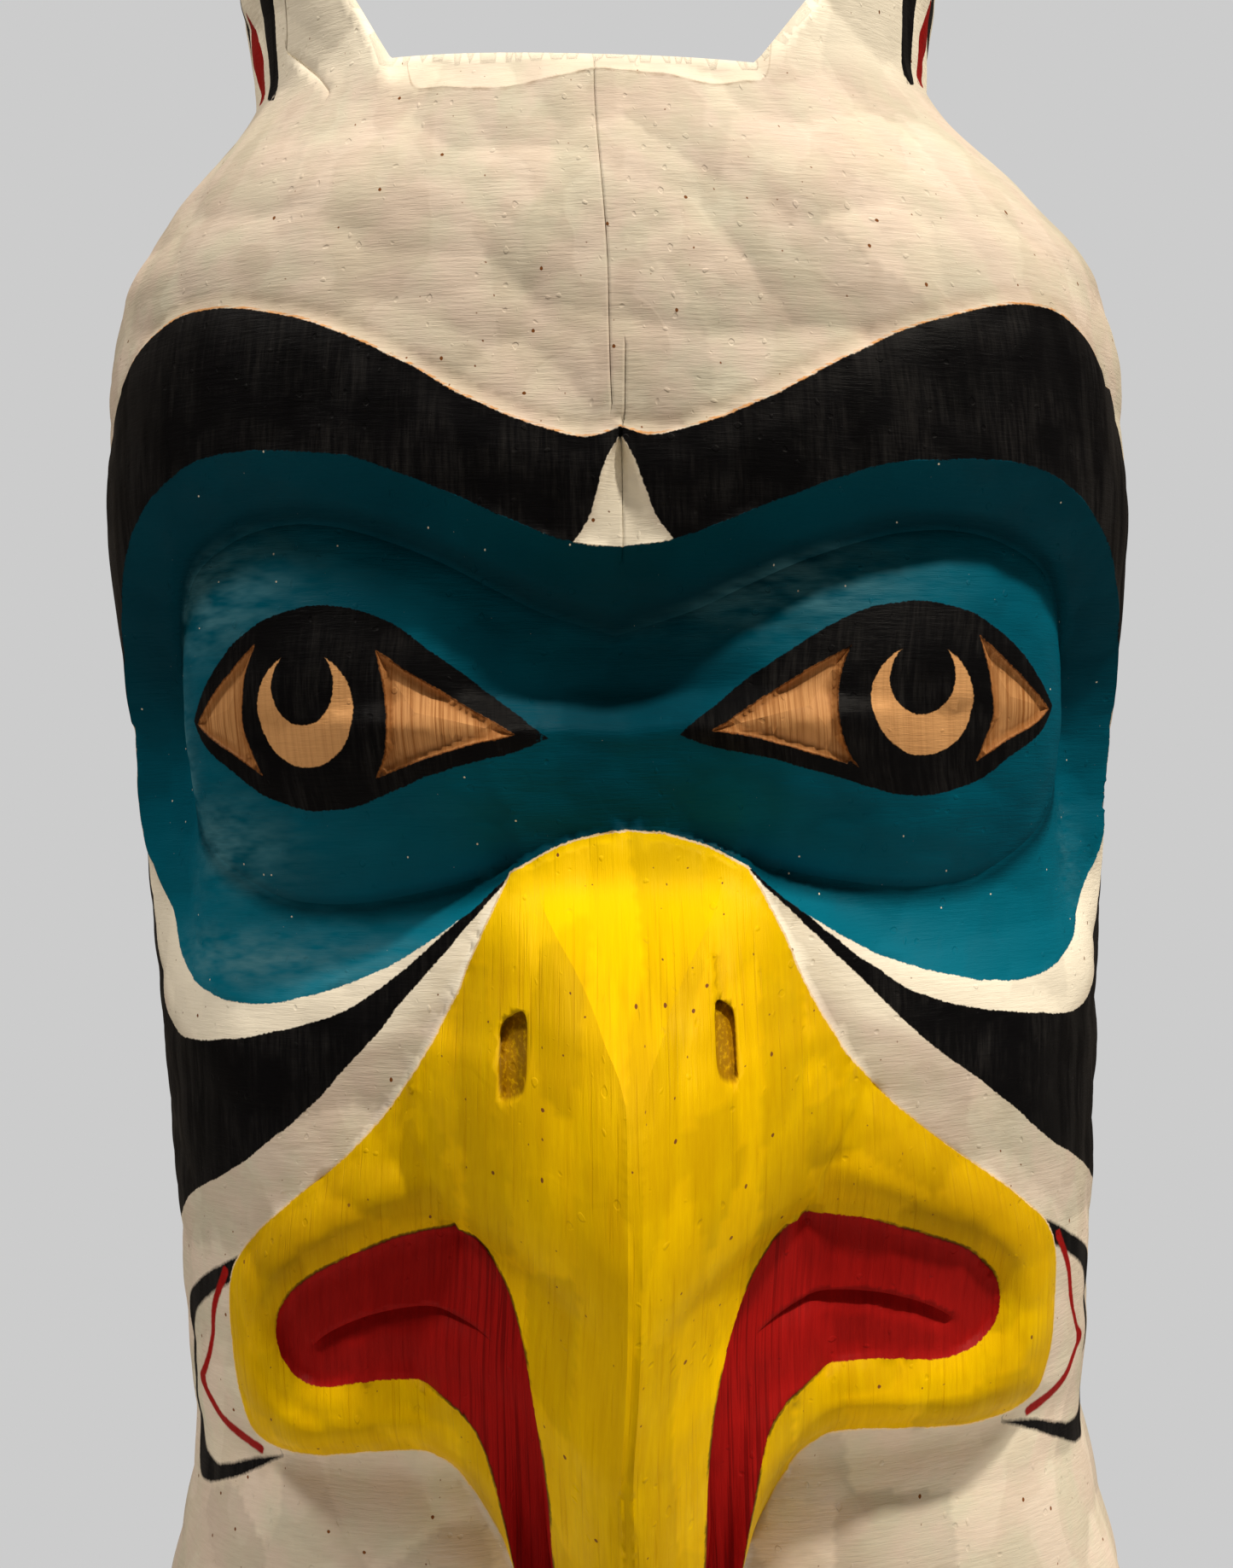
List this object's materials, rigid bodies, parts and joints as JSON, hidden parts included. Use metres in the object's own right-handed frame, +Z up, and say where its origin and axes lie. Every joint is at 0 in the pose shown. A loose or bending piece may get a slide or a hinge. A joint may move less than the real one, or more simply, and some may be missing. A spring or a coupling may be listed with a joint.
{
  "type": "totem pole eagle head",
  "caption": "Painted cedar eagle head of a totem pole: black brow, blue-green eye sockets, hooked yellow beak, red mouth and upright ears, on a flat base.",
  "frame": {"origin": "centre of the log on its flat underside", "axes": "+Z up the pole, -Y the way the beak points, +X to the right of someone facing the face"},
  "size_m": [0.6379, 0.6028, 1.13],
  "materials": {
    "painted_cedar": "hand-brushed matt paint over adzed red cedar: warm white, black, blue-green, yellow and red, bare tan wood in the eyes"
  },
  "bodies": {
    "root": {"eagle_head_pole": "painted_cedar"}
  },
  "joints": []
}
